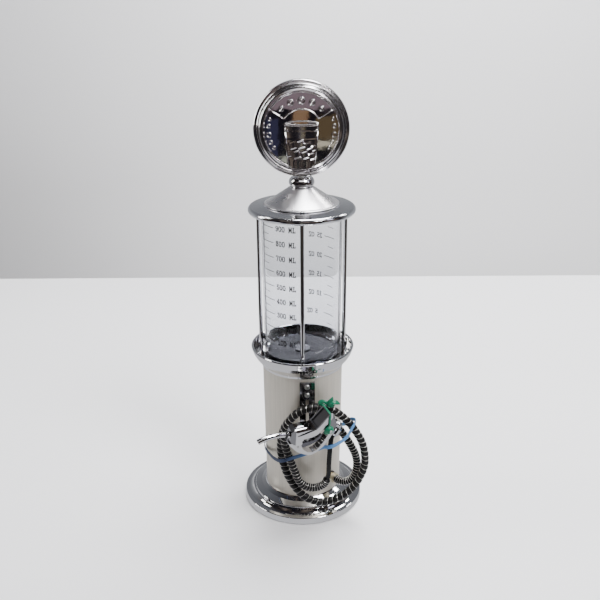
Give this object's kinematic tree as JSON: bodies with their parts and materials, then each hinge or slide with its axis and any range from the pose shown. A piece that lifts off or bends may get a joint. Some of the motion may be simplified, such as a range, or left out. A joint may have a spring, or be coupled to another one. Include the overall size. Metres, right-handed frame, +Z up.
{
  "type": "tabletop drinks dispenser",
  "caption": "Tabletop drinks dispenser shaped like an old visible gas pump: round base, steel column, clear reservoir under a domed lid and disc globe, with a coiled hose and trigger nozzle.",
  "frame": {"origin": "centre of the underside of the base", "axes": "+Z up along the column and the reservoir, -Y towards the front, where the globe's face, the hook and the nozzle are, +X to the right seen from the front"},
  "size_m": [0.145, 0.1831, 0.495],
  "materials": {
    "badge": "bright chrome relief",
    "black_rubber": "matt black",
    "black_sleeve": "black ribbed sleeve over a clear tube",
    "blue_rubber": "blue elastic",
    "brass": "turned brass",
    "cast_iron": "painted ballast",
    "chrome": "bright chrome plate with slight flow marks",
    "clear_acrylic": "clear extruded acrylic",
    "clear_vinyl": "clear vinyl tube",
    "dark_plastic": "moulded",
    "green_tie": "green coated wire",
    "plain_steel": "zinc plated",
    "satin_steel": "smooth satin stainless sheet"
  },
  "bodies": {
    "stand": {"base_pad": "black_rubber", "base_plate": "plain_steel", "ballast": "cast_iron", "base_skirt": "chrome", "base_screws": "plain_steel", "column_bulkhead": "plain_steel", "column": "satin_steel", "dish": "chrome", "reservoir_seat": "dark_plastic", "lower_gasket": "black_rubber", "reservoir_tube": "clear_acrylic", "upper_gasket": "black_rubber", "tie_rods": "chrome", "rod_nuts": "chrome", "lid": "chrome", "filler_neck": "dark_plastic", "cap_seal": "black_rubber", "drain_fitting": "brass", "drain_washer": "black_rubber", "drain_nut": "brass", "inner_hose": "clear_vinyl", "inner_hose_clips": "plain_steel", "outlet_fitting": "brass", "outlet_washer": "black_rubber", "outlet_nut": "brass", "hose_ferrule": "brass", "hose": "black_sleeve", "hose_tail": "black_sleeve", "hose_hook": "chrome", "hook_screws": "plain_steel", "rubber_band": "blue_rubber", "twist_tie": "green_tie"},
    "cap": {"cone_cap": "chrome", "cap_guide": "dark_plastic", "cap_nut": "plain_steel", "globe_stud": "plain_steel", "globe_neck": "chrome", "globe_boss": "plain_steel", "globe_front": "chrome", "globe_back": "chrome", "globe_screws": "plain_steel", "globe_emblem": "badge"},
    "nozzle": {"nozzle_body": "chrome", "trigger_guard": "chrome", "spout_collar": "chrome", "spout_ring": "black_rubber", "spout": "chrome", "inlet_elbow": "chrome", "inlet_nut": "chrome", "valve_gland": "brass", "valve_spring": "plain_steel", "trigger_pin": "plain_steel", "handle_tie": "green_tie"},
    "trigger": {"trigger_lever": "plain_steel"},
    "stem": {"valve_stem": "plain_steel", "valve_seal": "black_rubber"}
  },
  "joints": [
    {"name": "cap_lift", "type": "slide", "parent": "stand", "child": "cap", "axis": [0, 0, 1], "range_m": [0, 0.04]},
    {"name": "nozzle_lift", "type": "slide", "parent": "stand", "child": "nozzle", "axis": [0, 0, 1], "range_m": [0, 0.015]},
    {"name": "trigger_squeeze", "type": "hinge", "parent": "nozzle", "child": "trigger", "pos_m": [-0.00717, -0.08847, 0.11904], "axis": [0.4185, -0.8975, -0.1392], "range_deg": [0, 12], "stiffness_Nm_per_rad": 0.1, "springref_deg": -20.05},
    {"name": "stem_slide", "type": "slide", "parent": "nozzle", "child": "stem", "axis": [0.0588, -0.1261, 0.9903], "range_m": [0, 0.0032], "deforming": ["valve_spring"]}
  ],
  "couplings": [
    {"joint": "stem_slide", "follows": "trigger_squeeze", "m_per_rad": 0.0142}
  ]
}
